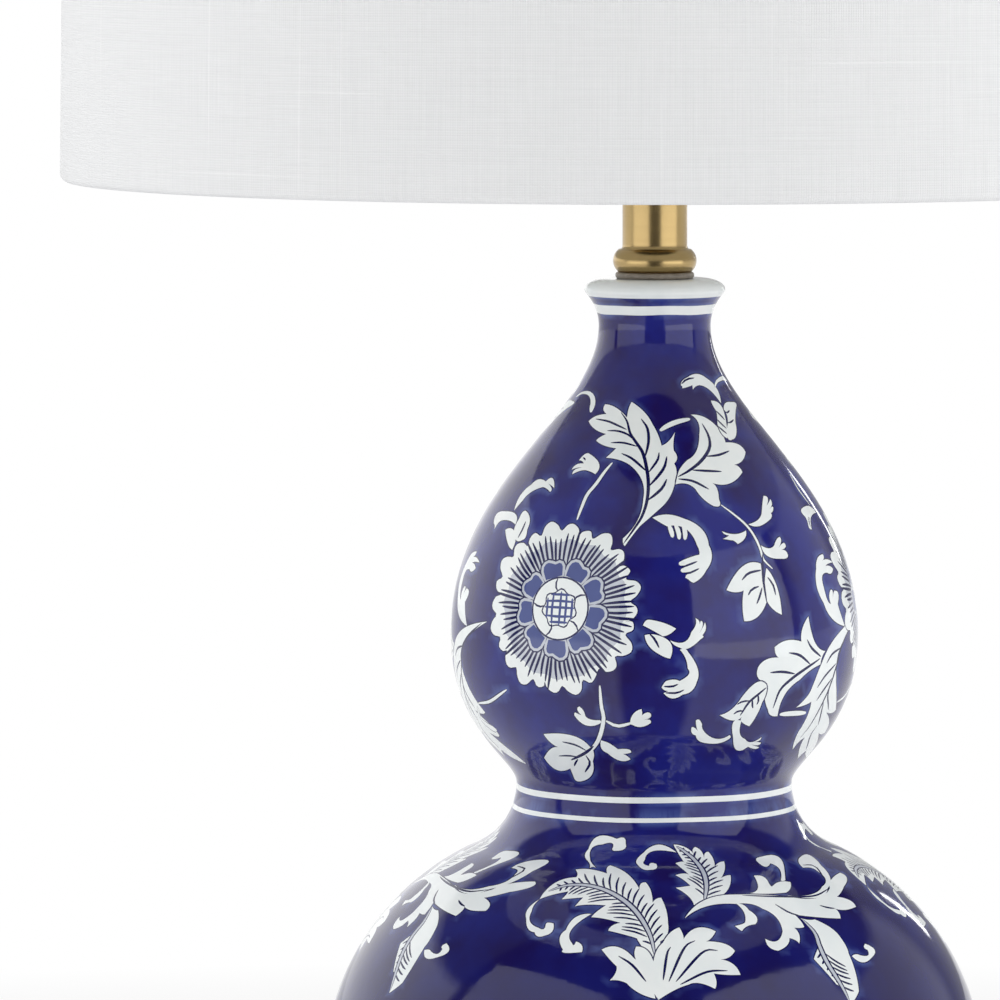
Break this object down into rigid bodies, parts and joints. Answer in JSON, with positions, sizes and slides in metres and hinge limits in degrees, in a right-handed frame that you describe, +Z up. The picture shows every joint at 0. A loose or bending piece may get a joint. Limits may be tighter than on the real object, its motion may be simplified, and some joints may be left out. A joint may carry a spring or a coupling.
{
  "type": "table lamp",
  "caption": "Table lamp: double-gourd porcelain base with a blue and white floral scroll, brass neck, harp, bulb with turn switch, and linen drum shade under a brass finial.",
  "frame": {"origin": "on the table, under the middle of the lamp", "axes": "+Z up along the rod, -Y to the front as pictured, +Y to the rear with the cord hole, the harp in the XZ plane"},
  "size_m": [0.4063, 0.4064, 0.676],
  "materials": {
    "porcelain": "gloss",
    "grommet": "matte",
    "felt": "matte",
    "board": "matte",
    "steel": "satin",
    "neck_grey": "satin",
    "brass": "satin",
    "paper": "matte",
    "moulding": "matte",
    "aluminium": "satin",
    "bulb_white": "satin",
    "bulb_frost": "satin",
    "linen": "matte",
    "shade_backing": "satin"
  },
  "bodies": {
    "base": {"gourd_lower": "porcelain", "gourd_upper": "porcelain", "cord_grommet": "grommet", "felt_pad": "felt", "bottom_cover": "board", "base_washer": "steel", "lock_washer": "steel", "base_nut": "steel", "threaded_rod": "steel", "neck_washer": "neck_grey", "neck_collar": "brass", "neck_tube": "brass", "neck_cap": "brass", "harp_saddle": "brass", "harp_bow": "brass", "harp_stud": "brass", "socket_cap": "brass", "socket_shell": "brass", "socket_liner": "paper", "socket_interior": "moulding", "terminal_screws": "brass", "screw_shell": "aluminium", "centre_contact": "brass"},
    "shade": {"shade_cover": "linen", "shade_liner": "shade_backing", "shade_top_ring": "steel", "shade_bottom_ring": "steel", "spider_washer": "brass", "spider_arm_1": "brass", "spider_arm_2": "brass", "spider_arm_3": "brass"},
    "finial": {"finial": "brass"},
    "bulb": {"bulb_tip": "aluminium", "bulb_insulator": "moulding", "bulb_screw_base": "aluminium", "bulb_housing": "bulb_white", "bulb_globe": "bulb_frost"},
    "switch": {"switch_shaft": "brass", "switch_knob": "moulding"},
    "sleeve_left": {"harp_sleeve_left": "brass"},
    "sleeve_right": {"harp_sleeve_right": "brass"}
  },
  "joints": [
    {"name": "shade_turn", "type": "hinge", "parent": "base", "child": "shade", "pos_m": [0, 0, 0.64715], "axis": [0, 0, 1], "continuous": true},
    {"name": "finial_turn", "type": "hinge", "parent": "base", "child": "finial", "pos_m": [0, 0, 0.64905], "axis": [0, 0, 1], "continuous": true},
    {"name": "bulb_turn", "type": "hinge", "parent": "base", "child": "bulb", "pos_m": [0, 0, 0.46801], "axis": [0, 0, 1], "continuous": true},
    {"name": "switch_turn", "type": "hinge", "parent": "base", "child": "switch", "pos_m": [0, -0.0194, 0.45421], "axis": [0, -1, 0], "continuous": true},
    {"name": "sleeve_left_lift", "type": "slide", "parent": "base", "child": "sleeve_left", "axis": [0, 0, 1], "range_m": [0, 0.015]},
    {"name": "sleeve_right_lift", "type": "slide", "parent": "base", "child": "sleeve_right", "axis": [0, 0, 1], "range_m": [0, 0.015]}
  ]
}
